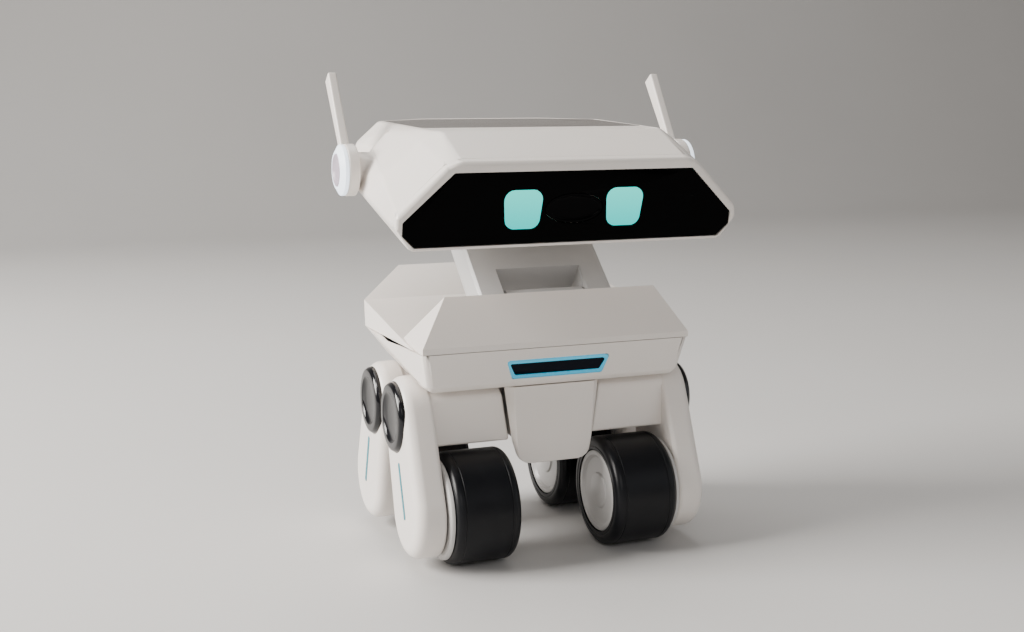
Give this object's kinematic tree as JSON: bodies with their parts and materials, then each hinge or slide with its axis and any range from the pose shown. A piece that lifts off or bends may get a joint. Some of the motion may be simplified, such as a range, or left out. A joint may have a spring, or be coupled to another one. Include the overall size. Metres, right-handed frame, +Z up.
{
  "type": "educational coding robot",
  "caption": "Small white robot toy with a wide visored head on a folding neck, a faceted body and legs that end in driven wheels.",
  "frame": {"origin": "on the ground, in the middle of the wheels and of the whole object's footprint", "axes": "+Z up, -Y is the way the robot faces, +X is the robot's own left; X = 0 is its plane of symmetry"},
  "size_m": [0.1884, 0.138, 0.2332],
  "materials": {
    "warm_white_shell": "satin, warm white",
    "neck_grey": "satin, mid grey",
    "gloss_black": "polished, black",
    "cap_black": "polished, blue-black",
    "tyre_rubber": "smooth, satin black",
    "dark_plastic": "matte, dark grey",
    "rim_grey": "satin, light grey",
    "steel": "machined",
    "cyan_light": "diffuser, glowing cyan",
    "teal_strip": "diffuser, teal",
    "ring_light": "diffuser, glowing white",
    "ear_cap_lavender": "satin, pale lavender",
    "smoked_panel": "polished, smoked brown",
    "circuit_board": "solder mask, green",
    "battery_wrap": "shrink wrap, blue"
  },
  "bodies": {
    "body_frame": {"body_upper_shell": "warm_white_shell", "body_lower_shell": "warm_white_shell", "chassis_spine": "warm_white_shell", "chin_cover": "warm_white_shell", "mouth_light_frame": "cyan_light", "mouth_window": "gloss_black", "battery_pack": "battery_wrap", "main_board": "circuit_board", "speaker": "dark_plastic", "neck_servo": "dark_plastic", "charging_port": "steel", "neck_bracket": "neck_grey"},
    "neck": {"neck_arm": "neck_grey", "neck_cover": "dark_plastic", "neck_pin": "steel"},
    "head": {"head_shell": "warm_white_shell", "head_base": "warm_white_shell", "visor_bezel": "warm_white_shell", "visor_glass": "gloss_black", "eye_light_left": "cyan_light", "eye_light_right": "cyan_light", "camera_module": "gloss_black", "roof_touch_panel": "smoked_panel", "head_tilt_servo": "dark_plastic", "head_pin": "steel", "ear_motor_left": "dark_plastic", "ear_motor_right": "dark_plastic"},
    "ear_left": {"ear_drum_left": "warm_white_shell", "ear_light_left": "ring_light", "ear_cap_left": "ear_cap_lavender", "antenna_left": "warm_white_shell"},
    "ear_right": {"ear_drum_right": "warm_white_shell", "ear_light_right": "ring_light", "ear_cap_right": "ear_cap_lavender", "antenna_right": "warm_white_shell"},
    "leg_front_left": {"leg_shell_front_left": "warm_white_shell", "hip_cap_front_left": "cap_black", "leg_light_front_left": "teal_strip", "wheel_axle_front_left": "steel"},
    "wheel_front_left": {"tyre_front_left": "tyre_rubber", "wheel_hub_front_left": "rim_grey"},
    "leg_front_right": {"leg_shell_front_right": "warm_white_shell", "hip_cap_front_right": "cap_black", "leg_light_front_right": "teal_strip", "wheel_axle_front_right": "steel"},
    "wheel_front_right": {"tyre_front_right": "tyre_rubber", "wheel_hub_front_right": "rim_grey"},
    "leg_rear_left": {"leg_shell_rear_left": "warm_white_shell", "hip_cap_rear_left": "cap_black", "leg_light_rear_left": "teal_strip", "wheel_axle_rear_left": "steel"},
    "wheel_rear_left": {"tyre_rear_left": "tyre_rubber", "wheel_hub_rear_left": "rim_grey"},
    "leg_rear_right": {"leg_shell_rear_right": "warm_white_shell", "hip_cap_rear_right": "cap_black", "leg_light_rear_right": "teal_strip", "wheel_axle_rear_right": "steel"},
    "wheel_rear_right": {"tyre_rear_right": "tyre_rubber", "wheel_hub_rear_right": "rim_grey"},
    "power_button": {"power_button": "dark_plastic"}
  },
  "joints": [
    {"name": "neck_lift", "type": "hinge", "parent": "body_frame", "child": "neck", "pos_m": [0, -0.026, 0.122], "axis": [1, 0, 0], "range_deg": [-8, 22]},
    {"name": "head_tilt", "type": "hinge", "parent": "neck", "child": "head", "pos_m": [0, 0.03, 0.1713], "axis": [1, 0, 0], "range_deg": [-18, 10]},
    {"name": "ear_turn_left", "type": "hinge", "parent": "head", "child": "ear_left", "pos_m": [0.0849, 0.0036, 0.1867], "axis": [1, 0, 0], "range_deg": [-30, 60]},
    {"name": "ear_turn_right", "type": "hinge", "parent": "head", "child": "ear_right", "pos_m": [-0.0849, 0.0036, 0.1867], "axis": [1, 0, 0], "range_deg": [-30, 60]},
    {"name": "hip_front_left", "type": "hinge", "parent": "body_frame", "child": "leg_front_left", "pos_m": [0.0654, -0.02, 0.07], "axis": [1, 0, 0], "range_deg": [-8, 8]},
    {"name": "wheel_front_left_spin", "type": "hinge", "parent": "leg_front_left", "child": "wheel_front_left", "pos_m": [0.0426, -0.035, 0.027], "axis": [1, 0, 0], "continuous": true},
    {"name": "hip_front_right", "type": "hinge", "parent": "body_frame", "child": "leg_front_right", "pos_m": [-0.0654, -0.02, 0.07], "axis": [1, 0, 0], "range_deg": [-8, 8]},
    {"name": "wheel_front_right_spin", "type": "hinge", "parent": "leg_front_right", "child": "wheel_front_right", "pos_m": [-0.0426, -0.035, 0.027], "axis": [1, 0, 0], "continuous": true},
    {"name": "hip_rear_left", "type": "hinge", "parent": "body_frame", "child": "leg_rear_left", "pos_m": [0.0654, 0.02, 0.07], "axis": [1, 0, 0], "range_deg": [-8, 8]},
    {"name": "wheel_rear_left_spin", "type": "hinge", "parent": "leg_rear_left", "child": "wheel_rear_left", "pos_m": [0.0426, 0.035, 0.027], "axis": [1, 0, 0], "continuous": true},
    {"name": "hip_rear_right", "type": "hinge", "parent": "body_frame", "child": "leg_rear_right", "pos_m": [-0.0654, 0.02, 0.07], "axis": [1, 0, 0], "range_deg": [-8, 8]},
    {"name": "wheel_rear_right_spin", "type": "hinge", "parent": "leg_rear_right", "child": "wheel_rear_right", "pos_m": [-0.0426, 0.035, 0.027], "axis": [1, 0, 0], "continuous": true},
    {"name": "power_press", "type": "slide", "parent": "body_frame", "child": "power_button", "axis": [0, -0.9187, 0.395], "range_m": [0, 0.001], "stiffness_N_per_m": 400, "springref_m": -0.001}
  ]
}
